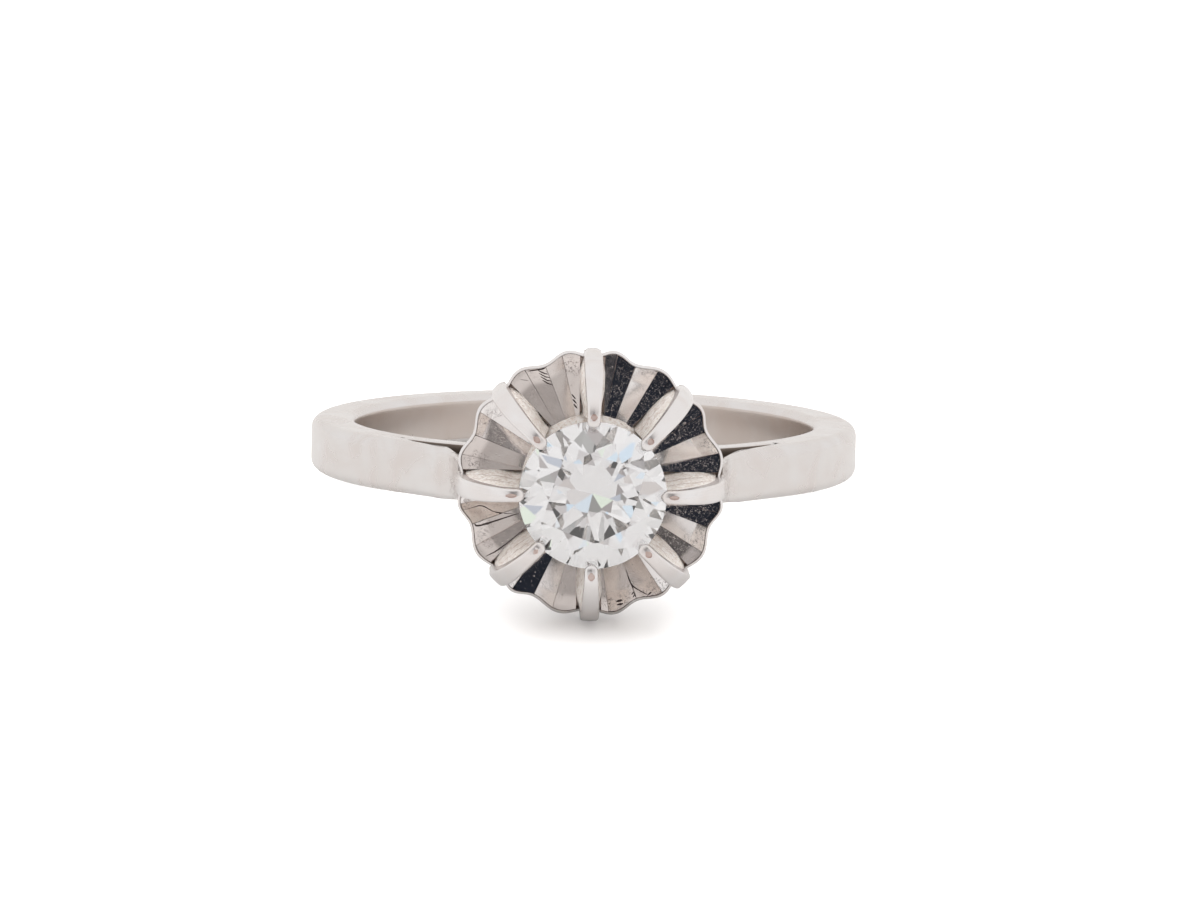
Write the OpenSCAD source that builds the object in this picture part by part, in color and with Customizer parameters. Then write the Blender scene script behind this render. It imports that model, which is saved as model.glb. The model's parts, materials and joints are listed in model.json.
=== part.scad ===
// Solitaire ring: a plain band with open shoulders and a scalloped, fluted plate whose eight
// claw fins hold one round brilliant. It lies on its side as it rests by itself.
// The ring is drawn with the finger axis along Z and the stone facing -Y, then laid down.

/* [Band] */
// Inside diameter of the band, mm
inside_d = 16.8; // [14:0.1:22]
// Radial thickness of the band at its back and sides, mm
band_t = 1.6; // [1.2:0.05:2.2]
// Width of the band along the finger, mm
band_w = 1.9; // [1.4:0.05:3]
// Rounding of the band's edges, mm
edge_r = 0.16; // [0.05:0.01:0.4]
// Radial thickness of the rail that closes the circle under the head, mm
rail_t = 0.8; // [0.5:0.05:1.1]

/* [Shoulders] */
// Angle from the head at which the shoulders start to leave the circle, degrees
shoulder_a = 50; // [40:1:60]
// How much larger the shoulder's arc is than the band's, mm
shoulder_grow = 3.3; // [0:0.1:6]
// Angle from the head at which the slit under each shoulder starts, degrees
slit_a = 47.5; // [35:0.5:55]
// Distance from the middle at which the shoulders meet the head, mm
shoulder_x = 4.6; // [3.5:0.05:6]

/* [Plate] */
// Height of the plate's rim above the finger axis, mm
rim_h = 11.1; // [10:0.05:13]
// Radius of the plate at the middle of a lobe, mm
lobe_r = 4.71; // [3.5:0.01:6]
// How far the notches between the lobes are cut in, mm
notch_d = 0.21; // [0:0.01:0.5]
// Thickness of the plate at its rim, mm
plate_t = 0.5; // [0.3:0.05:1]
// Depth of the fluted face below the rim, mm
dish_d = 0.3; // [0.1:0.05:0.6]
// Depth of each flute's valley below its ridges, mm
flute_d = 0.16; // [0:0.01:0.3]

/* [Claws] */
// Number of claws, which sets the number of lobes too
claws = 8; // [4:1:12]
// Width of a claw fin, mm
claw_w = 0.64; // [0.4:0.02:1]
// How far the outer ends of the fins stand out beyond the lobes, mm
claw_out = 0.04; // [0:0.01:0.3]
// Overlap of a claw's tip over the stone's edge, mm
claw_over = 0.24; // [0.1:0.01:0.5]
// Height of the stone's girdle above the plate's rim, mm
girdle_h = 3.2; // [1.5:0.05:4]

/* [Stone] */
// Diameter of the stone, mm
stone_d = 5.1; // [3:0.05:8]
// Gap between the stone and its claws, mm
stone_gap = 0.03; // [0.01:0.005:0.1]

/* [View] */
// Which node to draw

/* [Hidden] */
metal = [0.80, 0.77, 0.74];
clear = [0.86, 0.90, 0.94];

ri = inside_d / 2;
ro = ri + band_t;
rail_r = ri + rail_t;
half_w = band_w / 2;
claw_r = lobe_r + claw_out;
// Thickness of a shoulder and the angle it is swept through.
arm_t = 0.62;
arm_sweep = 26;
// Radius of the plate's plain back, width of its lip and radius of its inner floor.
plate_back_r = 3.9;
lip_w = 0.13;
plate_floor_r = 2.1;
// Outer radii of the cup: at the rail, at its shoulder and where it meets the plate.
cup_base_r = 2.6;
cup_mid_r = 3.75;
cup_top_r = 4.05;
// The collar: radii of its foot, its outer and inner top edges and its opening, and its height over the rim.
collar_foot_r = 2.5;
collar_out_r = 2.2;
collar_in_r = 1.9;
collar_open_r = 1.75;
collar_h = 0.45;
// The claw's arch: where its quarter ellipse is centred, and how far the claw stands over the girdle.
arch_r = 2.75;
arch_foot = 0.25;
claw_over_girdle = 0.46;
// How far a claw's seat reaches in under the girdle.
seat_in = 0.28;

// The stone: table width, crown and pavilion angles near those of an ordinary round brilliant.
stone_r = stone_d / 2;
table_r = 0.60 * stone_r;
crown_a = 34.5;
pavilion_a = 42.2;
girdle_t = 0.08;
star_r = 0.77 * stone_r;
lower_r = 0.30 * stone_r;
crown_h = (stone_r - table_r) * tan(crown_a);
pavilion_h = stone_r * tan(pavilion_a);
facet_step = 22.5;
girdle_n = 64;
stone_z = rim_h + girdle_h;
table_z = stone_z + girdle_t / 2 + crown_h;

// The ring rests on the lowest fin's outer end and on the band's back edge.
foot_z = rim_h - plate_t;
foot_y = foot_z + ro - edge_r;
foot_drop = claw_r - (half_w - edge_r);
lean = atan2(foot_drop, foot_y) - asin(edge_r / norm([foot_y, foot_drop]));
lift = claw_r * cos(lean) - foot_z * sin(lean);
front_y = -(table_z * cos(lean) + table_r * sin(lean));
back_y = (ro - edge_r) * cos(lean) + (half_w - edge_r) * sin(lean) + edge_r;
mid_y = (front_y + back_y) / 2;

// A section of the band between two radii, with its outer edges rounded.
module band_section(r_in, r_out) {
  steps = 5;
  turn = 90 / steps;
  outer = half_w - edge_r;
  polygon(concat(
    [[r_in, -half_w]],
    [for (i = [0:steps]) [r_out - edge_r + edge_r * sin(i * turn), -outer - edge_r * cos(i * turn)]],
    [for (i = [0:steps]) [r_out - edge_r + edge_r * cos(i * turn), outer + edge_r * sin(i * turn)]],
    [[r_in, half_w]]
  ));
}

// One shoulder: the band's section swept on a larger arc that starts tangent to the band.
module shoulder(side) {
  off = -shoulder_grow * [sin(shoulder_a), -cos(shoulder_a)];
  big = ro + shoulder_grow;
  translate([side * off[0], off[1], 0])
    rotate([0, 0, side > 0 ? -90 + shoulder_a - arm_sweep : -90 - shoulder_a])
      rotate_extrude(angle = arm_sweep, $fn = 200)
        band_section(big - arm_t, big);
}

// The end of a shoulder, which turns forward along the side of the head.
module shoulder_end(side) {
  w = band_w - 2 * edge_r;
  inner = shoulder_x - 0.6;
  translate([0, 0, -w / 2])
    linear_extrude(w)
      polygon([
        [side * (shoulder_x + 0.75), -8.58],
        [side * (shoulder_x + 0.38), -9.0],
        [side * (shoulder_x + 0.16), -9.6],
        [side * (shoulder_x + 0.02), -(foot_z + 0.1)],
        [side * inner, -(foot_z + 0.1)],
        [side * inner, -8.9],
        [side * (shoulder_x + 0.2), -8.75]
      ]);
}

// What is cut from the band: the slits under the shoulders and the room for the head.
module head_window() {
  start = [sin(slit_a), -cos(slit_a)] * (rail_r - 0.05);
  half = [start, [5.98, -7.3], [5.35, -8.18], [shoulder_x, -8.95], [shoulder_x - 0.3, -rim_h - 1]];
  translate([0, 0, -band_w])
    linear_extrude(2 * band_w)
      difference() {
        polygon(concat(half, [for (i = [len(half) - 1:-1:0]) [-half[i][0], half[i][1]]]));
        circle(r = rail_r, $fn = 200);
      }
}

// The whole band with its rail, slits and shoulders.
module band() {
  difference() {
    union() {
      rotate_extrude($fn = 200) band_section(ri, ro);
      shoulder(1);
      shoulder(-1);
    }
    head_window();
  }
}

// The outline radius of the plate at a step of a lobe's quarter.
function rim_r(k) = lobe_r - notch_d * (k % 4 == 0 ? 1 : k % 4 == 2 ? 0 : 0.27);

// Depth of the fluted face at a step: valleys at the lobes' middles.
function flute(k) = flute_d * (k % 4 == 0 ? 0 : k % 4 == 2 ? 1 : 0.5);

// The plate, a closed skin from the middle of its face over the rim to the middle of its back.
module plate() {
  n = claws * 8;
  floor_z = rim_h - dish_d - 0.1;
  function at(r, k, z) = [r * cos(360 * k / n), r * sin(360 * k / n), z];
  rings = [
    [for (k = [0:n - 1]) at(plate_floor_r, k, floor_z)],
    [for (k = [0:n - 1]) at(rim_r(k) - lip_w, k, rim_h - 0.06 - flute(k))],
    [for (k = [0:n - 1]) at(rim_r(k) - lip_w + 0.03, k, rim_h)],
    [for (k = [0:n - 1]) at(rim_r(k), k, rim_h - 0.02)],
    [for (k = [0:n - 1]) at(rim_r(k), k, rim_h - plate_t + 0.1)],
    [for (k = [0:n - 1]) at(plate_back_r, k, rim_h - plate_t)]
  ];
  count = len(rings);
  polyhedron(
    points = [for (ring = rings) for (p = ring) p],
    faces = concat(
      [for (i = [0:count - 2]) for (k = [0:n - 1]) [i * n + k, i * n + (k + 1) % n, (i + 1) * n + k]],
      [for (i = [0:count - 2]) for (k = [0:n - 1])
        [i * n + (k + 1) % n, (i + 1) * n + (k + 1) % n, (i + 1) * n + k]],
      [[for (k = [n - 1:-1:0]) k]],
      [[for (k = [0:n - 1]) (count - 1) * n + k]]
    ),
    convexity = 4
  );
}

// The cup under the plate, which closes the head down to the rail.
module cup() {
  base_z = rail_r - 0.15;
  back_z = foot_z - 0.12;
  rotate_extrude($fn = 96)
    polygon([
      [0, base_z],
      [cup_base_r, base_z],
      [cup_mid_r, back_z],
      [cup_top_r, back_z],
      [cup_top_r, foot_z + 0.2],
      [0, foot_z + 0.2]
    ]);
}

// The low collar under the stone, with the plain floor inside it.
module collar() {
  low = rim_h - dish_d - 0.25;
  floor_z = rim_h - dish_d - 0.05;
  high = rim_h + collar_h;
  rotate_extrude($fn = 96)
    polygon([
      [0, low],
      [collar_foot_r, low],
      [collar_foot_r - 0.08, high - 0.15],
      [collar_out_r, high],
      [collar_in_r, high],
      [collar_open_r, high - 0.2],
      [collar_open_r, floor_z],
      [0, floor_z]
    ]);
}

// The side profile of one fin: the arched claw over the plate and the rib down the cup.
// x is the distance from the head's axis and y the height above the finger axis.
module fin_profile() {
  over_r = stone_r - claw_over;
  hold_r = stone_r + stone_gap;
  top_z = rim_h + girdle_h + claw_over_girdle;
  arc_r = claw_r - arch_r;
  arc_h = top_z - rim_h - arch_foot;
  steps = 9;
  low_z = stone_z - girdle_t / 2 - stone_gap;
  rib_z = rail_r - 0.05;
  polygon(concat(
    [
      [over_r, stone_z + girdle_t / 2 + claw_over * tan(crown_a) + 1.3 * stone_gap],
      [over_r + 0.05, top_z - 0.12],
      [over_r + 0.2, top_z]
    ],
    [for (i = [0:steps])
      [arch_r + arc_r * sin(i * 90 / steps), rim_h + arch_foot + arc_h * cos(i * 90 / steps)]],
    [
      [claw_r, foot_z],
      [claw_r - 0.2, foot_z - 0.1],
      [3.2, rib_z],
      [2.0, rib_z],
      [2.0, rim_h - dish_d],
      [2.36, rim_h + 0.6],
      [hold_r - seat_in, low_z - seat_in * tan(pavilion_a) - 0.35],
      [hold_r - seat_in, low_z - seat_in * tan(pavilion_a) - stone_gap],
      [hold_r, low_z - stone_gap],
      [hold_r, stone_z + girdle_t / 2 + 1.3 * stone_gap]
    ]
  ));
}

module fin() {
  rotate([90, 0, 90])
    translate([0, 0, -claw_w / 2])
      linear_extrude(claw_w)
        fin_profile();
}

// The head with its axis along Z, before it is turned to face -Y.
module head() {
  plate();
  cup();
  collar();
  for (i = [0:claws - 1])
    rotate([0, 0, i * 360 / claws])
      fin();
}

// Lays the ring down on its side, with its box centred over the floor.
module lay() {
  translate([0, -mid_y, lift])
    rotate([-lean, 0, 0])
      children();
}

module ring_mount() {
  color(metal)
    lay()
      union() {
        band();
        shoulder_end(1);
        shoulder_end(-1);
        rotate([90, 0, 0]) head();
      }
}

// A round brilliant with its girdle's middle at the origin and its table up.
module brilliant() {
  n = girdle_n;
  per = n / 16;
  up = girdle_t / 2;
  table_h = up + crown_h;
  culet = -up - pavilion_h;
  star_z = table_h - (star_r * cos(facet_step) - table_r) * tan(crown_a);
  lower_z = culet + lower_r * cos(facet_step) * tan(pavilion_a);
  // Slope of the small facets next to the girdle, along their own middle line.
  mid = stone_r * cos(facet_step / 2);
  up_slope = (star_z - up) / (mid - star_r * cos(facet_step / 2));
  low_slope = (-up - lower_z) / (mid - lower_r * cos(facet_step / 2));
  function off(k) = stone_r * cos((k % per) * 360 / n - facet_step / 2) - mid;
  function at(r, a, z) = [r * cos(a), r * sin(a), z];
  table = [for (i = [0:7]) at(table_r, i * 45, table_h)];
  star = [for (i = [0:7]) at(star_r, i * 45 + facet_step, star_z)];
  upper = [for (k = [0:n - 1]) at(stone_r, k * 360 / n, up - off(k) * up_slope * 0.5)];
  lower = [for (k = [0:n - 1]) at(stone_r, k * 360 / n, -up + off(k) * low_slope * 0.5)];
  under = [for (i = [0:7]) at(lower_r, i * 45 + facet_step, lower_z)];
  s = 8;
  u = 16;
  l = u + n;
  b = l + n;
  c = b + 8;
  polyhedron(
    points = concat(table, star, upper, lower, under, [[0, 0, culet]]),
    faces = concat(
      [[for (i = [7:-1:0]) i]],
      [for (i = [0:7]) [i, (i + 1) % 8, s + i]],
      [for (i = [0:7]) [i, s + i, u + i * 2 * per]],
      [for (i = [0:7]) [i, u + i * 2 * per, s + (i + 7) % 8]],
      [for (i = [0:7]) for (k = [0:2 * per - 1])
        [s + i, u + (i * 2 * per + k + 1) % n, u + i * 2 * per + k]],
      [for (k = [0:n - 1]) [u + k, u + (k + 1) % n, l + (k + 1) % n]],
      [for (k = [0:n - 1]) [u + k, l + (k + 1) % n, l + k]],
      [for (i = [0:7]) for (k = [0:2 * per - 1])
        [b + i, l + i * 2 * per + k, l + (i * 2 * per + k + 1) % n]],
      [for (i = [0:7]) [b + i, c, l + i * 2 * per]],
      [for (i = [0:7]) [b + (i + 7) % 8, l + i * 2 * per, c]]
    ),
    convexity = 2
  );
}

module diamond() {
  color(clear)
    lay()
      rotate([90, 0, 0])
        translate([0, 0, stone_z])
          rotate([0, 0, facet_step / 2])
            brilliant();
}

ring_mount();
diamond();
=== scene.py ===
"""The looks of a solitaire ring that lies on its side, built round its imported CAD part.

Every piece is drawn in the ring's own frame, in millimetres, with the finger axis along Z and the
stone facing -Y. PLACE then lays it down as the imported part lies.
"""
import json
import math
import random

import bmesh
import bpy
from mathutils import Matrix, Vector, geometry
from mathutils.bvhtree import BVHTree


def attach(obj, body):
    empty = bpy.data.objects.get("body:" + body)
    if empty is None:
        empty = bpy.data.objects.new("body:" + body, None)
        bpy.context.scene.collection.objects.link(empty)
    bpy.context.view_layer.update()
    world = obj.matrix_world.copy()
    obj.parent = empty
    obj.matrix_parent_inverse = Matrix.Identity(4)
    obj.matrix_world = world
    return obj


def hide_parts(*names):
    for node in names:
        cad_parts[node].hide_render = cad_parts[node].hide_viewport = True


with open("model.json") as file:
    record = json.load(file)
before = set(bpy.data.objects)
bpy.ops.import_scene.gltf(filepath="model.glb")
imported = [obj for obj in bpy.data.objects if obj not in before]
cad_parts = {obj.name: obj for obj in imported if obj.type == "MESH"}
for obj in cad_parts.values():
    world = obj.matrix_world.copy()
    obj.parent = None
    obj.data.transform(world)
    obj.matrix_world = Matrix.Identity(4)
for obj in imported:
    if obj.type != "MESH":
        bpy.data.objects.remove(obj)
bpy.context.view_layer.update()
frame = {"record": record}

# Where the ring lies, from the finger hole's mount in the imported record.
hole = next(m for m in frame["record"]["mounts"] if m["name"] == "finger_hole")
LEAN = math.atan2(hole["axis"][1], hole["axis"][2])
MM = 0.001
PER_M = 1000.0
LAID = Matrix.Translation(hole["pos_m"]) @ Matrix.Rotation(-LEAN, 4, "X")
PLACE = LAID @ Matrix.Scale(MM, 4)

# The driving sizes, in millimetres and degrees, from the part's source. The outside radius is that of the
# packed box, and the notches and claws are a few hundredths larger than there.
INSIDE_R = 8.4
OUTSIDE_R = 9.9995
HALF_W = 0.95
RAIL_R = 9.2
SHOULDER_A = 50.0
SHOULDER_GROW = 3.3
SLIT_A = 47.5
SHOULDER_X = 4.6
RIM_H = 11.1
LOBE_R = 4.71
NOTCH_D = 0.24
PLATE_T = 0.5
PLATE_BACK_H = RIM_H - PLATE_T
CLAWS = 8
EIGHTH = 45
CLAW_HALF = 0.325
CLAW_R = 4.75
GIRDLE_H = 3.2
STONE_R = 2.55
STONE_H = RIM_H + GIRDLE_H
STONE_GAP = 0.03
CROWN_A = 34.5
PAVILION_A = 42.2
TABLE_R = 0.60 * STONE_R
GIRDLE_T = 0.08

# The camera's height over the ring's plane and its turn to the left, in degrees.
CAM_EL = 7.0
CAM_YAW = -1.4

# Points closer than this, in metres, are merged.
MERGE = 1e-7


def lerp(a, b, t):
    return a + (b - a) * t


def smooth(t):
    """A step from 0 to 1 with soft ends."""
    t = max(0.0, min(1.0, t))
    return t * t * (3 - 2 * t)


def sin(degrees):
    return math.sin(math.radians(degrees))


def cos(degrees):
    return math.cos(math.radians(degrees))


def tan(degrees):
    return math.tan(math.radians(degrees))


def stepped(first, last, step):
    """The numbers from first to last, one step apart."""
    return [first + k * step for k in range(int((last - first) / step) + 1)]


def polar(r, a):
    """A point in the ring's plane at angle a from the head, in degrees."""
    return Vector((r * sin(a), -r * cos(a)))


def plan(r, a):
    """A point of the head as seen from the front, right and up: a is its clock angle in degrees."""
    return Vector((r * sin(a), r * cos(a)))


def on_head(p, h):
    """The point p of the head's plan at height h over the finger axis, in the ring's frame."""
    return Vector((p.x, -h, p.y))


def spline(points, per=8):
    """A smooth curve through the points, by Catmull and Rom."""
    pts = [points[0] * 2 - points[1]] + list(points) + [points[-1] * 2 - points[-2]]
    out = []
    for i in range(1, len(pts) - 2):
        p0, p1, p2, p3 = pts[i - 1 : i + 3]
        for k in range(per):
            t = k / per
            out.append(
                0.5 * (2 * p1 + (p2 - p0) * t + (2 * p0 - 5 * p1 + 4 * p2 - p3) * t**2
                       + (3 * p1 - p0 - 3 * p2 + p3) * t**3)
            )
    out.append(pts[-2])
    return out


def bridge(a, b):
    """The faces between two closed rows of point numbers."""
    n = len(a)
    return [(a[k], a[(k + 1) % n], b[(k + 1) % n], b[k]) for k in range(n)]


def tube(first, n, rows):
    """The faces between closed rows of n points each, numbered from first on."""
    starts = [first + k * n for k in range(rows)]
    return [face for s in starts[:-1] for face in bridge(range(s, s + n), range(s + n, s + 2 * n))]


def sheet(first, n, rows):
    """The faces between open rows of n points each, numbered from first on."""
    corners = [first + k * n + i for k in range(rows - 1) for i in range(n - 1)]
    return [(q, q + 1, q + 1 + n, q + n) for q in corners]


def border(first, n, rows):
    """The point numbers round the edge of such a sheet."""
    last = first + (rows - 1) * n
    ring = list(range(first, first + n - 1)) + list(range(first + n - 1, last, n))
    return ring + list(range(last + n - 1, last, -1)) + list(range(last, first, -n))


def make(name, verts, faces, materials, slot="white_gold", smooth_angle=30.0, flat=False, kinds=None):
    """A mesh piece from points in the ring's frame; kinds picks each face's material."""
    me = bpy.data.meshes.new(name)
    me.from_pydata([PLACE @ Vector(v) for v in verts], [], faces)
    me.update()
    for material in materials:
        me.materials.append(material)
    if kinds:
        me.polygons.foreach_set("material_index", kinds)
    bm = bmesh.new()
    bm.from_mesh(me)
    bmesh.ops.remove_doubles(bm, verts=bm.verts, dist=MERGE)
    bmesh.ops.recalc_face_normals(bm, faces=bm.faces)
    bm.to_mesh(me)
    bm.free()
    ob = bpy.data.objects.new(name, me)
    bpy.context.collection.objects.link(ob)
    for poly in me.polygons:
        poly.use_smooth = not flat
    if not flat:
        me.set_sharp_from_angle(angle=math.radians(smooth_angle))
    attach(ob, "root")
    return ob


# Materials

# Scales that turn a place on a piece from metres into millimetres, into fine lines round the band and into
# the floor's faint pattern.
IN_MM = (PER_M, PER_M, PER_M)
IN_LINES = (180.0, 180.0, 5200.0)
IN_FLOOR = (30.0, 30.0, 30.0)

# The numbers of the mix node's colour sockets.
MIX_A = 6
MIX_B = 7
MIX_RESULT = 2


class Nodes:
    """A node tree, with one short call for each kind of node used here."""

    def __init__(self, tree):
        self.tree = tree

    def add(self, kind, **numbers):
        """A new node, with these numbers in its sockets."""
        node = self.tree.nodes.new(kind)
        for name, number in numbers.items():
            node.inputs[name].default_value = number
        return node

    def feed(self, socket, value):
        """Links the value to the socket if it is a node's output, and sets it if not."""
        if isinstance(value, bpy.types.NodeSocket):
            self.tree.links.new(value, socket)
        else:
            socket.default_value = value

    def coords(self, scale=IN_MM):
        coord = self.add("ShaderNodeTexCoord")
        mapping = self.add("ShaderNodeMapping", Scale=scale)
        self.feed(mapping.inputs["Vector"], coord.outputs["Object"])
        return mapping.outputs["Vector"]

    def noise(self, place, scale, detail=4.0, rough=0.55, distort=0.0):
        n = self.add("ShaderNodeTexNoise", Scale=scale, Detail=detail, Roughness=rough, Distortion=distort)
        self.feed(n.inputs["Vector"], place)
        return n.outputs["Fac"]

    def ramp(self, fac, stops):
        """A colour ramp, each stop with its position and its colour."""
        r = self.add("ShaderNodeValToRGB")
        elements = r.color_ramp.elements
        while len(elements) < len(stops):
            elements.new(0.5)
        for element, (position, colour) in zip(elements, stops):
            element.position = position
            element.color = colour + (1.0,)
        self.feed(r.inputs["Fac"], fac)
        return r.outputs["Color"]

    def remap(self, value, span, to):
        """The value, stretched from one span onto another and kept within it."""
        m = self.add("ShaderNodeMapRange")
        for name, number in zip(("From Min", "From Max", "To Min", "To Max"), span + to):
            m.inputs[name].default_value = number
        self.feed(m.inputs["Value"], value)
        return m.outputs["Result"]

    def calc(self, kind, *values, node="ShaderNodeMath", output="Value"):
        m = self.add(node)
        m.operation = kind
        for socket, value in zip(m.inputs, values):
            self.feed(socket, value)
        return m.outputs[output]

    def vector_calc(self, kind, *values):
        output = "Value" if kind in ("LENGTH", "DOT_PRODUCT") else "Vector"
        return self.calc(kind, *values, node="ShaderNodeVectorMath", output=output)

    def mix(self, fac, a, b):
        """The colour a where fac is 0 and b where it is 1; b may be a plain colour."""
        m = self.add("ShaderNodeMix")
        m.data_type = "RGBA"
        self.feed(m.inputs["Factor"], fac)
        self.feed(m.inputs[MIX_A], a)
        self.feed(m.inputs[MIX_B], b + (1.0,) if isinstance(b, tuple) else b)
        return m.outputs[MIX_RESULT]

    def bump(self, shader, layers):
        """Stacks bump layers, each with its height, strength and distance in metres."""
        last = None
        for height, strength, distance in layers:
            b = self.add("ShaderNodeBump", Strength=strength, Distance=distance)
            self.feed(b.inputs["Height"], height)
            if last is not None:
                self.feed(b.inputs["Normal"], last)
            last = b.outputs["Normal"]
        self.feed(shader.inputs["Normal"], last)


def new_material(name, settings):
    mat = bpy.data.materials.new(name)
    mat.use_nodes = True
    shader = mat.node_tree.nodes["Principled BSDF"]
    for key, number in settings.items():
        shader.inputs[key].default_value = number
    return mat, Nodes(mat.node_tree), shader


def tinted(colour, factors):
    """A colour with each part multiplied by its factor."""
    return tuple(min(1.0, c * k) for c, k in zip(colour, factors))


def gold(name, tint, rough, wave=0.3, scratch=0.1, grain=0.15, solder=False):
    """White gold with faint waves from hand polishing, fine scratches and cloudy wear.
    With solder, the shoulders' ends show the pitted seam that joins them to the head."""
    mat, nodes, shader = new_material("white_gold_" + name, {"Metallic": 1.0})
    place = nodes.coords()
    broad = nodes.noise(place, scale=0.55, detail=3.0)
    fine = nodes.noise(place, scale=6.0, detail=5.0)
    lines = nodes.noise(nodes.coords(IN_LINES), scale=1.0, detail=3.0)
    clouds = nodes.noise(place, scale=0.75, detail=2.5, rough=0.5, distort=0.5)
    warm = tinted(tint, (0.965, 0.935, 0.92))
    cool = tinted(tint, (1.02, 1.03, 1.04))
    colour = nodes.ramp(clouds, [(0.30, warm), (0.70, cool)])
    layers = [
        (broad, wave, 0.00006),
        (fine, 0.15 * grain, 0.000012),
        (lines, scratch, 0.000004),
    ]
    if solder:
        pits = solder_pits(nodes, place)
        colour = nodes.mix(pits, colour, (0.40, 0.32, 0.28))
        layers.append((nodes.remap(pits, (0.0, 1.0), (1.0, 0.0)), 0.6, 0.00003))
    nodes.feed(shader.inputs["Base Color"], colour)
    nodes.feed(shader.inputs["Roughness"], nodes.remap(clouds, (0.27, 0.73), (rough[1], rough[0])))
    nodes.bump(shader, layers)
    return mat


def solder_pits(nodes, place):
    """Where the solder seams at the shoulders' ends are pitted."""
    parts = nodes.add("ShaderNodeSeparateXYZ")
    nodes.feed(parts.inputs["Vector"], place)
    across = nodes.calc("ABSOLUTE", parts.outputs["X"])
    near = nodes.remap(across, (SHOULDER_X + 0.10, SHOULDER_X + 0.42), (1.0, 0.0))
    front = nodes.remap(parts.outputs["Y"], (-6.4, -6.0), (1.0, 0.0))
    specks = nodes.noise(place, scale=5.5, detail=6.0, rough=0.75, distort=0.8)
    speck = nodes.remap(specks, (0.54, 0.64), (0.0, 0.8))
    return nodes.calc("MULTIPLY", nodes.calc("MULTIPLY", near, front), speck)


def rim_cracks(nodes, place):
    """Thin dark chatter marks on the cuts, in patches along the rim."""
    middle = (PLACE @ Vector((0, -RIM_H, 0))) * PER_M
    axis = (PLACE.to_3x3() @ Vector((0, -1, 0))).normalized()
    from_middle = nodes.vector_calc("SUBTRACT", place, middle)
    from_axis = nodes.vector_calc("LENGTH", nodes.vector_calc("CROSS_PRODUCT", from_middle, axis))
    near_rim = nodes.remap(from_axis, (3.5, 4.2), (0.0, 1.0))
    wavy = nodes.noise(place, scale=3.2, detail=3.0, rough=0.6, distort=2.2)
    off_line = nodes.calc("ABSOLUTE", nodes.remap(wavy, (0.0, 1.0), (-1.0, 1.0)))
    thin = nodes.remap(off_line, (0.012, 0.045), (1.0, 0.0))
    patches = nodes.noise(place, scale=1.3, detail=2.0, rough=0.5, distort=0.5)
    patch = nodes.remap(patches, (0.50, 0.56), (0.0, 1.0))
    return nodes.calc("MULTIPLY", nodes.calc("MULTIPLY", thin, near_rim), patch)


def bright_cut(name, tint, rough, speckle=0.0):
    """The bright cuts: near mirrors with a few pits, patches of dark cracks and, on some, a speckle."""
    mat, nodes, shader = new_material("white_gold_" + name, {"Metallic": 1.0})
    place = nodes.coords()
    broad = nodes.noise(place, scale=1.1, detail=2.0)
    fine = nodes.noise(place, scale=9.0, detail=6.0, rough=0.65)
    cells = nodes.add("ShaderNodeTexVoronoi", Scale=5.0)
    nodes.feed(cells.inputs["Vector"], place)
    pit = nodes.remap(cells.outputs["Distance"], (0.05, 0.13), (0.0, 1.0))
    warm = tinted(tint, (0.97, 0.95, 0.945))
    clean = nodes.ramp(broad, [(0.3, warm), (0.7, tint)])
    nodes.feed(shader.inputs["Base Color"], nodes.mix(rim_cracks(nodes, place), clean, (0.16, 0.13, 0.13)))
    nodes.feed(shader.inputs["Roughness"], nodes.remap(fine, (0.45, 0.75), rough))
    layers = [(broad, 0.2, 0.00002), (fine, 0.2, 0.000003), (pit, 0.25, 0.000006)]
    if speckle:
        coarse = nodes.noise(place, scale=15.0, detail=7.0, rough=0.74, distort=1.4)
        start = lerp(0.67, 0.60, speckle)
        spots = nodes.ramp(coarse, [(start, (0, 0, 0)), (start + 0.05, (1, 1, 1))])
        layers.append((spots, 0.7, 0.000016))
    nodes.bump(shader, layers)
    return mat


def granular(name, tint, rough, metallic):
    """Cast metal left unpolished beside the claws: creamy and grainy, with bright specks and dark pores."""
    mat, nodes, shader = new_material("white_gold_" + name, {"Metallic": metallic})
    place = nodes.coords()
    grain = nodes.noise(place, scale=7.0, detail=6.0, rough=0.7)
    specks = nodes.noise(place, scale=8.0, detail=7.0, rough=0.8, distort=0.6)
    dark = tinted(tint, (0.56, 0.48, 0.43))
    middle = tinted(tint, (0.84, 0.79, 0.75))
    stops = [(0.38, dark), (0.45, middle), (0.53, tint), (0.59, (1.0, 0.99, 0.97))]
    nodes.feed(shader.inputs["Base Color"], nodes.ramp(specks, stops))
    nodes.feed(shader.inputs["Roughness"], nodes.remap(grain, (0.3, 0.7), rough))
    nodes.bump(shader, [(grain, 0.8, 0.00006), (specks, 1.0, 0.00006)])
    return mat


def brilliant_glass(name):
    """A clear stone with the light-bending of diamond."""
    settings = {"Roughness": 0.0, "IOR": 2.42, "Transmission Weight": 1.0}
    mat, nodes, shader = new_material(name, settings)
    haze = nodes.noise(nodes.coords(), scale=1.5, detail=2.0)
    colour = nodes.ramp(haze, [(0.2, (0.985, 0.99, 1.0)), (0.8, (1.0, 1.0, 0.995))])
    nodes.feed(shader.inputs["Base Color"], colour)
    return mat


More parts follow.
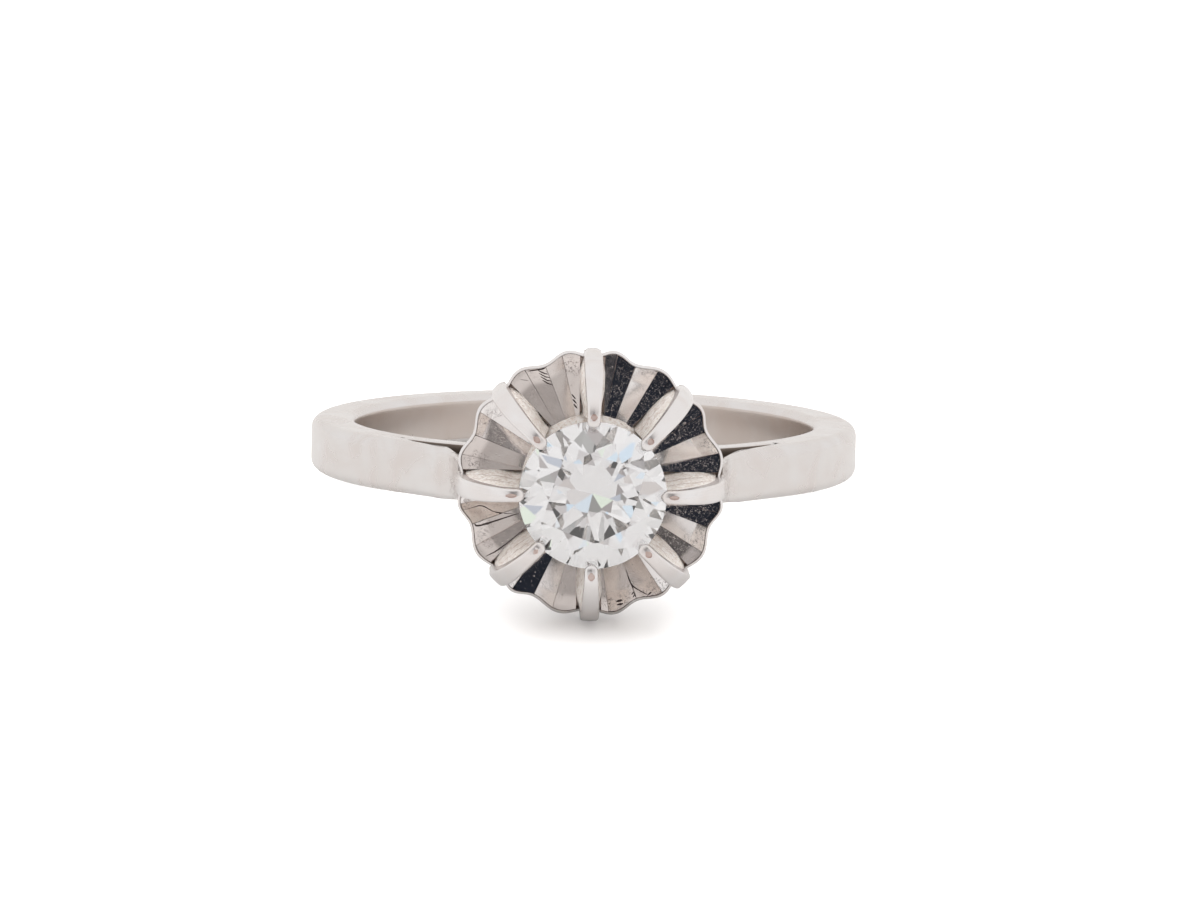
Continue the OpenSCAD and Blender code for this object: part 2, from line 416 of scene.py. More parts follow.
GOLD = gold("polished", (0.755, 0.728, 0.712), (0.22, 0.30), wave=0.7, scratch=0.2, solder=True)
CLAW_GOLD = gold("claws", (0.82, 0.795, 0.785), (0.20, 0.28), wave=0.25)
SATIN = gold("satin", (0.78, 0.74, 0.72), (0.22, 0.34), scratch=0.35)
# The hole's wall: the band's gold painted darker, as painted shade.
INSIDE_SHADE = gold("inside", (0.62, 0.56, 0.52), (0.27, 0.30), wave=0.06, scratch=0.0, grain=0.0)
# The slits' walls: the gold painted nearly black, as painted shade in the narrow gaps.
SLIT_SHADE = gold("slit", (0.27, 0.225, 0.195), (0.30, 0.42))
# Painted shade for recesses: the trench under the rim's lip, the webs' creases and the line under each claw's
# bar.
RECESS_SHADE = gold("seam", (0.56, 0.47, 0.43), (0.35, 0.5))
SCORE_AND_SHADOW = gold("score_and_painted_shadow", (0.085, 0.068, 0.066), (0.40, 0.55))
# The notches' pinkish brown is a painted warm reflection in the claws' bends.
NOTCH_REFLECTION = gold("notch", (0.66, 0.54, 0.50), (0.30, 0.42))
MIRROR_TINT = (0.765, 0.725, 0.71)
SOFT_TINT = (0.80, 0.745, 0.715)
# A lighter tint of the same cut metal, as painted light for the light cuts.
LIT_CUT_TINT = (0.90, 0.875, 0.865)
# Each finish of the cuts, plain and then speckled. The last pair's lighter tint is painted light on the cuts
# that catch the most light.
CUT_FINISHES = [
    bright_cut("mirror_cut", MIRROR_TINT, (0.02, 0.09), 0.35),
    bright_cut("mirror_cut_speckled", MIRROR_TINT, (0.02, 0.09), 1.0),
    bright_cut("soft_cut", SOFT_TINT, (0.12, 0.19)),
    bright_cut("soft_cut_speckled", SOFT_TINT, (0.12, 0.20), 0.8),
    bright_cut("painted_light_cut", LIT_CUT_TINT, (0.12, 0.20)),
    bright_cut("painted_light_cut_speckled", LIT_CUT_TINT, (0.14, 0.22), 0.8),
]
GRAIN = granular("cast", (0.90, 0.86, 0.82), (0.6, 0.35), 0.25)
# A lighter copy of the cast metal: painted light on the collar beside the stone.
GRAIN_LIT = granular("cast_painted_light", (0.98, 0.95, 0.92), (0.5, 0.3), 0.5)
STONE = brilliant_glass("diamond_clear")


# The band with its rail, slits and shoulders: one flat outline, thickened with rounded edges

# The numbers of its materials: the outside and the flats, the hole's wall, which takes painted shade, and the
# slits' walls, which take a darker painted shade.
ON_OUTSIDE = 0
ON_BORE = 1
ON_SLIT = 2

# The steps of its arcs, and where the rail's arc starts beside the slits' ends, in degrees.
ARC_STEP = 1.25
RAIL_STEP = 1.22
RAIL_START = 1.2

# The right shoulder's end, the angles of its arc and its slit, in the ring's plane.
SHOULDER_END = [(4.63, -10.5), (4.70, -9.95), (4.84, -9.42), (5.06, -8.98)]
SHOULDER_ARC = (36.6, 38.5, 41, 44, 47)
SLIT_LINE = [(4.2, -10.5), (4.22, -9.5), (4.55, -9.0), (5.35, -8.19), (5.98, -7.32), (6.55, -6.46)]

# The roundings of the edges: the outer ones, the same at the head, the slits', and the hole's at the head and
# at the back.
EDGE = 0.38
EDGE_AT_HEAD = 0.20
EDGE_OF_SLIT = 0.06
EDGE_OF_HOLE = 0.24
EDGE_OF_HOLE_BACK = 0.34

# How far from the middle the shoulders' ends get a shallow step and then start to thin, right and left. Then
# the step's length and depth, and what the top and the bottom lose at the very end.
STEP_START = (7.05, 6.75)
THIN_START = (6.0, 5.35)
STEP_LONG = 0.6
STEP_DEEP = 0.045
TOP_LOSS = 0.3
BOTTOM_LOSS = 0.12

# How much further a sharp corner of the outline may be moved than the walls beside it: 1 over this.
SHARPEST = 0.45
# How far inside its rounding each flat gets a second row of points, which keeps its shading even.
FLAT_ROW = 0.04


def shoulder_taper(p, z):
    """The shoulders' ends lose their top and bottom corners where they meet the head."""
    if p.y > 0 or p.length < RAIL_R + 0.015:
        return z
    hand = 0 if p.x > 0 else 1
    start = THIN_START[hand]
    step = STEP_DEEP * smooth((STEP_START[hand] - abs(p.x)) / STEP_LONG)
    t = max(0.0, min(1.0, (start - abs(p.x)) / (start - SHOULDER_X)))
    loss = max(step, TOP_LOSS * t**2.2) if z > 0 else BOTTOM_LOSS * t**3
    return z * (1 - loss / HALF_W)


def outer_edge(p):
    """The worn rounding of the band's outer edges, which the thin shoulders' ends have less of."""
    if p.y > 0:
        return EDGE
    return lerp(EDGE_AT_HEAD, EDGE, smooth((abs(p.x) - 4.7) / 2.0))


def bore_edge(a):
    """The rounding of the hole's edges at angle a from the head, worn more at the back."""
    return lerp(EDGE_OF_HOLE, EDGE_OF_HOLE_BACK, smooth((170 - abs(a - 180)) / 110))


def mirrored(points):
    return [Vector((-p.x, p.y)) for p in points]


def band_outline():
    """The outer outline, from the right shoulder's end round the back and in through both slits.
    Each entry is (point, edge rounding, material number)."""
    centre = polar(-SHOULDER_GROW, SHOULDER_A)
    end = [Vector(p) for p in SHOULDER_END]
    arc = [centre + polar(OUTSIDE_R + SHOULDER_GROW, a) for a in SHOULDER_ARC]
    right = spline(end + arc + [polar(OUTSIDE_R, SHOULDER_A)], 7)[:-1]
    back = [polar(OUTSIDE_R, a) for a in stepped(SHOULDER_A, 360 - SHOULDER_A, ARC_STEP)]
    slit = spline([Vector(p) for p in SLIT_LINE] + [polar(RAIL_R - 0.02, SLIT_A)], 6)
    rail = [polar(RAIL_R, a) for a in stepped(SLIT_A - RAIL_START, RAIL_START - SLIT_A, -RAIL_STEP)]
    out = [(p, outer_edge(p), ON_OUTSIDE) for p in right + back + mirrored(reversed(right))]
    inner = mirrored(slit) + list(reversed(rail)) + list(reversed(slit))
    return out + [(p, EDGE_OF_SLIT, ON_SLIT) for p in inner]


def inward_ways(pts):
    """At each point of a closed outline, the way into the metal that moves both its walls in by 1."""
    ways = []
    for i, p in enumerate(pts):
        before = (p - pts[i - 1]).normalized()
        after = (pts[(i + 1) % len(pts)] - p).normalized()
        way = Vector((-before.y - after.y, before.x + after.x)).normalized()
        ways.append(way / max(SHARPEST, way.dot(Vector((-before.y, before.x)))))
    return ways


def flat_ring(loop, ways, z):
    """A loop's second row of points on one flat."""
    return [(p + way * (edge + FLAT_ROW), z) for (p, edge, kind), way in zip(loop, ways)]


def edge_ring(loop, ways, side, a):
    """A loop's points on one rounded edge, at angle a of its turn from the wall to the flat."""
    return [(p + way * edge * (1 - cos(a)), side * (HALF_W - edge + edge * sin(a)))
            for (p, edge, kind), way in zip(loop, ways)]


def thick_band(loops, steps=5):
    """The flat outline with its hole made thick, the edges rounded by each point's own radius.
    Each point also says which material the wall takes from there on."""
    verts, faces, kinds, caps = [], [], [], {1: [], -1: []}
    turn = [k * 90 / steps for k in range(steps + 1)]
    for loop in loops:
        n = len(loop)
        ways = inward_ways([p for p, edge, kind in loop])
        rings = [flat_ring(loop, ways, -HALF_W)]
        rings += [edge_ring(loop, ways, -1, a) for a in reversed(turn)]
        rings += [edge_ring(loop, ways, 1, a) for a in turn]
        rings.append(flat_ring(loop, ways, HALF_W))
        base = len(verts)
        for ring in rings:
            verts += [Vector((p.x, p.y, shoulder_taper(p, z))) for p, z in ring]
        faces += tube(base, n, len(rings))
        for k in range(len(rings) - 1):
            # The wall's own material, the painted shade of the hole or of the slits, covers the wall and the
            # strip next to it on each side.
            on_wall = steps <= k <= steps + 2
            kinds += [kind if on_wall else 0 for p, edge, kind in loop]
        caps[-1].append([base + i for i in range(n)])
        caps[1].append([base + (len(rings) - 1) * n + i for i in range(n)])
    for side, rows in caps.items():
        flat = [i for row in rows for i in row]
        polys = [[Vector((verts[i].x, verts[i].y, 0)) for i in row] for row in rows]
        for tri in geometry.tessellate_polygon(polys):
            faces.append(tuple(flat[k] for k in (tri if side > 0 else reversed(tri))))
            kinds.append(0)
    return make("shank", verts, faces, [GOLD, INSIDE_SHADE, SLIT_SHADE], smooth_angle=32, kinds=kinds)


bore = [(polar(INSIDE_R, -a), bore_edge(a), ON_BORE) for a in stepped(0, 360 - ARC_STEP, ARC_STEP)]
shank = thick_band([band_outline(), bore])


# The plate

# Where the three lines between the cuts lie in each eighth, in degrees clockwise from its first claw.
# The middle one is also the rim's notch.
LINES = [
    (11.0, 20.0, 30.0),
    (12.5, 20.0, 31.0),
    (12.5, 20.0, 31.0),
    (11.0, 22.5, 36.0),
    (16.0, 26.0, 35.5),
    (15.5, 25.0, 35.0),
    (12.0, 22.0, 32.0),
    (14.0, 23.0, 31.5),
]

# Where the cuts start, the width of the lip and of the trench inside it, the groove between two cuts and half
# the strip that a claw stands on.
INNER_R = 2.38
LIP = 0.10
TRENCH = 0.014
GROOVE = 0.011
STRIP = 0.43
# About how far out a claw's strip reaches.
STRIP_END_R = 4.5
# From this share of its length on, a cut bends up towards the rim. Then the length counted, and how softly
# the bend starts.
TIER = 0.74
BEND_LONG = 4.6 - INNER_R
BEND_SOFT = 0.06
# The heights of the middle cuts' shared line, of the skirts' feet and of the space that the cuts keep to.
FACE_H = RIM_H - 0.13
UNDER_FACE = RIM_H - 0.52
CUT_TOP = RIM_H - 0.04
CUT_FLOOR = RIM_H - 0.455
# The columns of points across a cut, and the rows along it as shares of its length.
CUT_COLS = 4
CUT_ROWS = [0.0, 0.25, 0.5, 0.68] + [lerp(0.72, 1.0, k / 9) for k in range(10)]

# Each eighth of the plate has four bright cuts, named clockwise from its first claw by how they catch the
# light: K black, G grey, D dark, E less dark, M middling, B brighter, L light. An s marks a speckled cut.
CUTS = [
    "G Ks L Ks",
    "Ks Ks L Ks",
    "Ks Ks L Ds",
    "L M Bs M",
    "M Ls K L",
    "M M Bs L",
    "M M Es L",
    "M M M Bs",
]
# How far each kind leans from the way that mirrors the camera, in degrees, and its number in CUT_FINISHES.
LEAN_OF = {"K": 0.9, "G": 1.2, "D": 3.4, "E": 4.5, "M": 5.4, "B": 7.4, "L": 11.5}
FINISH_OF = {"K": 0, "G": 2, "D": 0, "E": 0, "M": 2, "B": 2, "L": 4}
# How strongly some kinds bend up at the rim. The others draw one of three strengths.
BEND_OF = {"K": 0.0, "G": 0.0, "D": 0.05, "M": 0.09}
BENDS = (0.08, 0.16, 0.22)
# The lean that mirrors the camera, right and up.
TO_CAMERA = Vector((sin(CAM_YAW), sin(CAM_EL)))


def rim_radius(a):
    """The scalloped outline at clock angle a, which is furthest in at the claws and at the notches."""
    a %= 360
    notch = LINES[int(a // EIGHTH) % CLAWS][1]
    t = a % EIGHTH
    t = t / notch if t < notch else 1 + (t - notch) / (EIGHTH - notch)
    return LOBE_R - NOTCH_D * abs(math.cos(math.pi * t)) ** 2


def cuts_reach(a):
    """How far out the cuts reach at clock angle a."""
    return rim_radius(a) - LIP - TRENCH


def cut_edge(seg, line, share):
    """A point on one of the five lines that bound the cuts of an eighth, from the collar out to the rim."""
    start = seg * float(EIGHTH)
    if line in (0, 4):
        side = STRIP if line == 0 else -STRIP
        claw = start if line == 0 else start + EIGHTH
        out = plan(1, claw)
        across = Vector((out.y, -out.x))
        r_in = math.sqrt(INNER_R**2 - STRIP**2)
        a_out = claw + math.degrees(math.asin(side / STRIP_END_R))
        r_out = math.sqrt(cuts_reach(a_out) ** 2 - STRIP**2)
        return out * lerp(r_in, r_out, share) + across * side
    a = start + LINES[seg][line - 1]
    return plan(lerp(INNER_R, cuts_reach(a), share), a)


def cut_planes(seg, names, rng):
    """The planes of an eighth's cuts, each as its slope, its height and the point that has this height.
    The middle two share a line, and each outer one nearly meets the cut beside it."""
    planes = {}
    for j in (1, 2, 0, 3):
        mid = (cut_edge(seg, j, 0.5) + cut_edge(seg, j + 1, 0.5)) / 2
        out = mid.normalized()
        around = Vector((out.y, -out.x))
        way = (around if j in (0, 2) else -around) * 0.9 - out * 0.42
        lean = LEAN_OF[names[j][0]] * rng.uniform(0.80, 1.18)
        slope = -(TO_CAMERA + way.normalized() * tan(lean))
        if j in (1, 2):
            fixed = cut_edge(seg, 2, 0.6)
            height = FACE_H
        else:
            fixed = cut_edge(seg, 1 if j == 0 else 3, 0.6)
            near = planes[1 if j == 0 else 2]
            height = near[1] + near[0].dot(fixed - near[2]) + rng.uniform(-0.02, 0.02)
        planes[j] = (slope, height, fixed)
    return planes


def cut_grid(seg, j, plane, bend, shift):
    """The points of one cut, in rows from the collar to the rim."""
    slope, height, fixed = plane
    grid = []
    for share in CUT_ROWS:
        lo = cut_edge(seg, j, share)
        hi = cut_edge(seg, j + 1, share)
        part = GROOVE * share / (hi - lo).length
        lo, hi = lo.lerp(hi, part), hi.lerp(lo, part)
        up = max(0.0, share - TIER - shift) * BEND_LONG
        row = []
        for c in range(CUT_COLS + 1):
            p = lo.lerp(hi, c / CUT_COLS)
            if share == CUT_ROWS[-1]:
                p = p.normalized() * cuts_reach(math.degrees(math.atan2(p.x, p.y)))
            row.append(on_head(p, height + slope.dot(p - fixed) + bend * up * up / (up + BEND_SOFT)))
        grid.append(row)
    return grid


def keep_in_plate(grid):
    """Flattens and moves a cut so that it lies between the plate's floor and the lip."""
    heights = [-p.y for row in grid for p in row]
    low = min(heights)
    high = max(heights)
    flatten = min(1.0, (CUT_TOP - CUT_FLOOR) / (high - low))
    lift = max(0.0, CUT_FLOOR - lerp(high, low, flatten)) - max(0.0, high - CUT_TOP)
    for row in grid:
        for p in row:
            p.y = -(lerp(high, -p.y, flatten) + lift)


def add_cut(verts, faces, kinds, grid, finish):
    """Adds the faces of a cut, with a skirt from its edge down into the plate."""
    base = len(verts)
    rows = len(grid)
    n = CUT_COLS + 1
    for row in grid:
        verts += row
    flats = sheet(base, n, rows)
    ring = border(base, n, rows)
    low = len(verts)
    verts += [Vector((verts[i].x, -UNDER_FACE, verts[i].z)) for i in ring]
    faces += flats + bridge(ring, range(low, len(verts)))
    kinds += [finish] * len(flats) + [0] * len(ring)


def plate_cuts():
    """The bright cuts, each a plane that bends up towards the rim."""
    rng = random.Random(11)
    verts, faces, kinds = [], [], []
    for seg in range(CLAWS):
        names = CUTS[seg].split()
        planes = cut_planes(seg, names, rng)
        for j in range(4):
            kind = names[j][0]
            finish = FINISH_OF[kind] + (1 if names[j].endswith("s") else 0)
            drawn = rng.choice(BENDS)
            shift = rng.uniform(-0.02, 0.08)
            grid = cut_grid(seg, j, planes[j], BEND_OF.get(kind, drawn), shift)
            keep_in_plate(grid)
            add_cut(verts, faces, kinds, grid, finish)
    return verts, faces, kinds


# The scratches and tool marks on the cuts, and in the second row a painted shadow along the rim's step at 11
# o'clock. The columns are how many strokes lie side by side, how much nearer the middle each lies than the
# last, their width, and the radius and clock angle of each place on the way.
SCORES = [
    (4, 0.13, 0.055, (4.4, 334), (4.2, 336), (4.1, 338)),
    # A painted shadow along the rim's step, not a mark.
    (1, 0.00, 0.075, (4.5, 330), (4.4, 338)),
    (1, 0.00, 0.025, (4.4, 325), (4.2, 328)),
    (3, 0.17, 0.065, (3.2, 347), (3.0, 349)),
    (1, 0.00, 0.085, (4.5, 250), (4.1, 248), (2.7, 246)),
    (1, 0.00, 0.045, (4.5, 257), (3.9, 257), (3.5, 252), (2.9, 247)),
    (1, 0.00, 0.055, (4.5, 234), (3.9, 233), (2.8, 234)),
    (1, 0.00, 0.060, (3.3, 157), (3.9, 157), (4.5, 152)),
    (1, 0.00, 0.070, (4.5, 152), (4.4, 150)),
    (2, 0.10, 0.060, (4.3, 159), (4.2, 157)),
    (2, 0.12, 0.110, (4.4, 167), (4.4, 164)),
]
# How far a mark's edges lie under the cut and its middle over it.
SCORE_SINK = 0.002
SCORE_LIFT = 0.008


def plate_scores_and_shadow(verts, faces):
    """The marks and one painted shadow, as thin dark ridges laid on the cuts: verts and faces are the cuts'.
    """
    rng = random.Random(41)
    cuts_tree = BVHTree.FromPolygons(verts, faces)

    def on_cut(p, up):
        above = on_head(p, RIM_H + 1)
        hit = cuts_tree.ray_cast(above, Vector((0, 1, 0)))[0]
        if hit is None:
            hit = cuts_tree.find_nearest(above)[0]
        return hit - Vector((0, up, 0))

    out, skin = [], []
    strokes = [(width, [(r - k * step, a) for r, a in places])
               for count, step, width, *places in SCORES for k in range(count)]
    for width, places in strokes:
        route = spline([plan(min(r, cuts_reach(a) - width / 2), a) for r, a in places])
        last = len(route) - 1
        first = len(out)
        for i, p in enumerate(route):
            along = (route[min(i + 1, last)] - route[max(i - 1, 0)]).normalized()
            across = Vector((along.y, -along.x))
            swell = 0.12 + 0.88 * math.sqrt(math.sin(math.pi * i / last))
            half = 0.5 * width * swell * rng.uniform(0.8, 1.1)
            middle = p + across * rng.uniform(-0.005, 0.005)
            for side, up in ((-half, -SCORE_SINK), (0, SCORE_LIFT), (half, -SCORE_SINK)):
                out.append(on_cut(middle + across * side, up))
        skin += tube(first, 3, len(route))
        skin.append((first, first + 2, first + 1))
        skin.append((len(out) - 3, len(out) - 2, len(out) - 1))
    return out, skin


def revolve(name, rings, materials, close_in=False, **more):
    """Skins the rings, which are lists of the same number of points."""
    n = len(rings[0])
    verts = [p for ring in rings for p in ring]
    faces = tube(0, n, len(rings))
    if close_in:
        faces.append(tuple(range(n)))
    make(name, verts, faces, materials, **more)


# The rim's rows, from the floor under the cuts over the lip and the plate's edge to its back. The columns
# are how round the row is, from 0 for the scallops to 1 for a circle, the circle's radius, how far inside
# that the row lies, and its height over the rim.
RIM_ROWS = [
    (1, 1.9, 0, -0.47),
    (1, 2.3, 0, -0.47),
    (0, 0, LIP + 0.08, -0.40),
    (0, 0, LIP, -0.22),
    (0, 0, LIP - 0.004, -0.02),
    (0, 0, LIP - 0.018, -0.002),
    (0, 0, 0.062, -0.004),
    (0, 0, 0.035, -0.016),
    (0, 0, 0.012, -0.036),
    (0, 0, 0, -0.075),
    (0, 0, 0, 0.12 - PLATE_T),
    (0, 0, 0.04, 0.05 - PLATE_T),
    (0.5, 4.3, 0, 0.02 - PLATE_T),
    (1, 3.9, 0, -PLATE_T),
    (1, 3.5, 0, -PLATE_T),
]
RIM_POINTS = 256
# How many of its strips, from the floor on, are painted dark as shade: the floor under the cuts and the foot
# of the lip's inner wall.
SHADED_STRIPS = 3


def rim_rings():
    """The rim's rows, each as a ring of points."""
    angles = [i * 360 / RIM_POINTS for i in range(RIM_POINTS)]
    return [[on_head(plan(lerp(rim_radius(a), r, roundness) - inset, a), RIM_H + over) for a in angles]
            for roundness, r, inset, over in RIM_ROWS]


verts, faces, kinds = plate_cuts()
make("plate_cuts", verts, faces, CUT_FINISHES, smooth_angle=5, kinds=kinds)
make("plate_scores_and_shadow", *plate_scores_and_shadow(verts, faces), [SCORE_AND_SHADOW], smooth_angle=60)
# The first strips, the floor and the foot of the lip under the cuts, take painted shade.
dark = RIM_POINTS * SHADED_STRIPS
bright = RIM_POINTS * (len(RIM_ROWS) - 1) - dark
revolve("plate_rim", rim_rings(), [CLAW_GOLD, RECESS_SHADE], smooth_angle=40, kinds=[1] * dark + [0] * bright)


# The collar and the cup, each turned from points with a radius and a height over a level

COLLAR = [
    (1.30, -0.35), (1.74, -0.34), (1.76, 0.1), (1.80, 0.36), (1.9, 0.44), (2.05, 0.46),
    (2.2, 0.44), (2.33, 0.33), (2.40, 0.12), (2.43, -0.1), (2.47, -0.3), (2.47, -0.5),
]
CUP_OVER_RAIL = [(0.9, -0.13), (2.45, -0.13), (2.6, -0.05), (2.75, 0.12), (3.2, 0.66)]
CUP_OVER_BACK = [(3.6, -0.28), (3.75, -0.13), (3.9, -0.1), (4.02, -0.06), (4.05, 0.04)]


def turned(profile, level, n=128):
    return [[on_head(plan(r, i * 360 / n), level + over) for i in range(n)] for r, over in profile]


# The collar takes the lighter cast copy, as painted light.
revolve("collar", turned(COLLAR, RIM_H), [GRAIN_LIT], close_in=True, smooth_angle=50)
cup = turned(CUP_OVER_RAIL, RAIL_R) + turned(CUP_OVER_BACK, PLATE_BACK_H)
revolve("cup", cup, [SATIN], close_in=True, smooth_angle=50)


# The claws

# The claw's arch is a quarter of an ellipse: its middle, its radius and its height.
CLAW_TOP = STONE_H + 0.46
ARCH_X = 2.75
ARCH_FOOT = RIM_H + 0.25
ARCH_R = CLAW_R - ARCH_X
ARCH_H = CLAW_TOP - ARCH_FOOT
ARCH_ANGLES = list(range(0, 75, 5)) + [75, 78, 80.5, 82.5, 84, 85.3, 86, 86.7, 88, 89, 90]

# The rib under the plate and its turn at the plate's edge: distances from the head's axis, and heights.
RIB = [
    (3.02, RAIL_R + 0.02), (3.35, RAIL_R + 0.34), (4.2, PLATE_BACK_H - 0.43),
    (4.55, PLATE_BACK_H - 0.09), (4.69, PLATE_BACK_H + 0.02), (4.75, PLATE_BACK_H + 0.16),
]
# The tip beyond the arch: its distance from the axis and its fall under the top.
TIP = [
    (2.72, 0.0), (2.69, 0.0), (2.66, 0.0), (2.63, 0.0), (2.58, 0.002),
    (2.50, 0.012), (2.44, 0.03), (2.39, 0.06), (2.35, 0.10), (2.32, 0.16),
]

# The bar's depth, its least depth over the stone, and how far from the axis the stone starts to limit it.
BAR_DEEP = 0.38
BAR_THIN = 0.05
BAR_LIMIT_R = 2.60
# Half its width at the tip, and where the tip's rounding starts and how long it is.
TIP_HALF = 0.235
ROUND_R = 2.56
ROUND_LONG = 0.26
# The rounding of its edges, plain and where it turns at the plate's edge.
BAR_EDGE = 0.10
BAR_EDGE_TURN = 0.24
# How far the bar's top lies under the claw's outer line.
BAR_SINK = 0.012

# How long, wide and deep each claw's pressed notch is, against a full one.
NOTCHES = [
    (1.0, 1.0, 1.0),
    (1.1, 0.9, 1.0),
    (1.5, 0.55, 0.9),
    (1.2, 0.9, 1.0),
    (1.3, 1.0, 0.8),
    (0.8, 0.6, 0.4),
    (1.7, 0.5, 0.9),
    (1.3, 0.8, 0.9),
]
# Where a notch starts, and a full one's length, half width and depth.
PIT_IN = 2.66
PIT_LONG = 0.18
PIT_HALF = 0.10
PIT_DEEP = 0.05
# The strips of the bar's section that a notch takes, which carry its painted warm reflection.
PIT_STRIPS = (8, 9, 10, 11)


def claw_path():
    """The claw's outer line in the plane of its fin, from the rail up over the plate to the stone."""
    rib = [Vector(p) for p in RIB]
    arch = [Vector((ARCH_X + ARCH_R * cos(t), ARCH_FOOT + ARCH_H * sin(t))) for t in ARCH_ANGLES]
    return rib + arch + [Vector((x, CLAW_TOP - fall)) for x, fall in TIP]


def fin_point(a, r, h, across):
    """A point in the fin at clock angle a: r out, h high and across to its right."""
    out = plan(1, a)
    side = Vector((out.y, -out.x))
    return on_head(out * r + side * across, h)


def bar_thickness(p):
    """The bar's depth under the point p of its outer line: it ends a gap above the stone's crown."""
    if p.x > BAR_LIMIT_R:
        return BAR_DEEP
    crown = STONE_H + GIRDLE_T / 2 + STONE_GAP + max(0.0, STONE_R - p.x) * tan(CROWN_A)
    return min(BAR_DEEP, max(BAR_THIN, p.y - crown))


def bar_half(p, i, count):
    """Half the bar's width: narrower towards the rounded tip, and drawn in where it leaves the rail."""
    over = p.y > RIM_H
    half = lerp(CLAW_HALF, TIP_HALF, smooth((4.6 - p.x) / 1.9)) if over else CLAW_HALF
    if p.x < ROUND_R and over:
        half *= max(0.35, math.sqrt(max(0.0, 1 - ((ROUND_R - p.x) / ROUND_LONG) ** 2)))
    return half * lerp(0.8, 1.0, smooth(i / (count - 1) / 0.12))


def bar_section(half, deep, edge, pit_half, sink):
    """The bar's section from its left foot over its top to its right foot, with the notch in the middle."""
    corner = [(edge * (1 - cos(t)), edge * (1 - sin(t))) for t in (20, 40, 60, 78)]
    left = [(-half, -deep), (-half, -lerp(edge, deep, 0.5)), (-half, -edge)]
    left += [(x - half, -y) for x, y in corner]
    left += [(edge - half, 0.0), (-pit_half - 0.02, 0.009), (-pit_half, 0.01 + sink)]
    return left + [(0, 0.012 + sink * 1.15)] + [(-x, y) for x, y in reversed(left)]


def claw_bar(index):
    """The polished bar of one claw, with a small pressed notch near its tip, whose colour is a painted warm
    reflection.
    """
    path = claw_path()
    count = len(path)
    long, wide, deep_share = NOTCHES[index]
    drift = random.Random(100 + index).uniform(-0.02, 0.02)
    pit_out = PIT_IN + PIT_LONG * long
    pit_mid = (PIT_IN + pit_out) / 2
    pit_reach = (pit_out - PIT_IN) / 2
    verts, in_pit = [], []
    for i, p in enumerate(path):
        ahead = (path[min(i + 1, count - 1)] - path[max(i - 1, 0)]).normalized()
        out = Vector((ahead.y, -ahead.x))
        half = bar_half(p, i, count)
        deep = bar_thickness(p)
        at_turn = smooth(1 - abs(p.y - RIM_H) / 1.3) if p.x > 4 else 0.0
        edge = min(lerp(BAR_EDGE, BAR_EDGE_TURN, at_turn), deep * 0.9)
        oval = math.sqrt(max(0.08, 1 - ((p.x - pit_mid) / pit_reach) ** 2))
        pit_half = min(PIT_HALF * wide * oval, half - edge - 0.03)
        pressed = PIT_IN <= p.x <= pit_out and p.y > STONE_H
        in_pit.append(pressed)
        section = bar_section(half, deep, edge, pit_half, -PIT_DEEP * deep_share if pressed else 0.0)
        for x, y in section:
            q = p + out * (y - BAR_SINK)
            verts.append(fin_point(index * EIGHTH, q.x, q.y, x + drift * smooth(i / count)))
    size = len(section)
    faces = tube(0, size, count)
    faces.append(tuple(range(size)))
    faces.append(tuple(reversed(range((count - 1) * size, count * size))))
    kinds = []
    for before, after in zip(in_pit, in_pit[1:]):
        kinds += [1 if k in PIT_STRIPS and (before or after) else 0 for k in range(size)]
    return verts, faces, kinds + [0, 0]


# The cast webs under the claws: their rows of faces, the rows that are creases and how deep these are, their
# foot, and their outer radius.
WEB_ROWS = 36
CREASES = (13, 22)
CREASE_DEEP = 0.02
WEB_FOOT = RIM_H - 0.42
WEB_OUT_R = 4.66
# Half a web's width at its foot and at the claw's top, and the most it may be where it meets the bar.
WEB_HALF_FOOT = 0.47
WEB_HALF_TOP = 0.23
WEB_HALF_BAR = 0.20


def web_point(p, row, a, side, jitter):
    """The point of a web's left or right face in a row, under the point p of the claw's outer line."""
    t = row / WEB_ROWS
    h = lerp(WEB_FOOT, max(p.y - 0.3, WEB_FOOT + 0.02), t)
    inner = lerp(2.50, 2.66, smooth(t))
    r = min(p.x - 0.1, lerp(inner, WEB_OUT_R, (p.x - ARCH_X) / (CLAW_R - ARCH_X)))
    share = (h - WEB_FOOT) / (CLAW_TOP - WEB_FOOT)
    half = lerp(WEB_HALF_FOOT, WEB_HALF_TOP, share**0.75) + jitter
    # It thins towards the stone and towards its outer end.
    half *= lerp(0.72, 1.0, smooth((r - 2.55) / 0.8))
    half *= lerp(1.0, 0.66, smooth((r - 3.85) / 0.75))
    if row - 1 in CREASES or row in CREASES:
        half -= CREASE_DEEP
    if row == WEB_ROWS:
        half = min(half, WEB_HALF_BAR)
    return fin_point(a, r, h, side * half)


def claw_web(index):
    """The cast web that fills the arch, wider at its foot, with two thin creases along it."""
    rng = random.Random(300 + index)
    under = [p for p in claw_path() if p.y > PLATE_BACK_H + 0.1 and p.x > 2.65]
    cols = len(under)
    verts = [web_point(p, row, index * EIGHTH, side, rng.uniform(-0.006, 0.006))
             for side in (-1, 1) for row in range(WEB_ROWS + 1) for p in under]
    n = (WEB_ROWS + 1) * cols
    faces, kinds = [], []
    for first in (0, n):
        faces += sheet(first, cols, WEB_ROWS + 1)
        for row in range(WEB_ROWS):
            # The crease rows and the top row, under the bar's overhang, take painted shade.
            kinds += [1 if row in CREASES or row == WEB_ROWS - 1 else 0] * (cols - 1)
    ring = border(0, cols, WEB_ROWS + 1)
    ring[1:] = reversed(ring[1:])
    faces += bridge(ring, [i + n for i in ring])
    return verts, faces, kinds + [0] * len(ring)


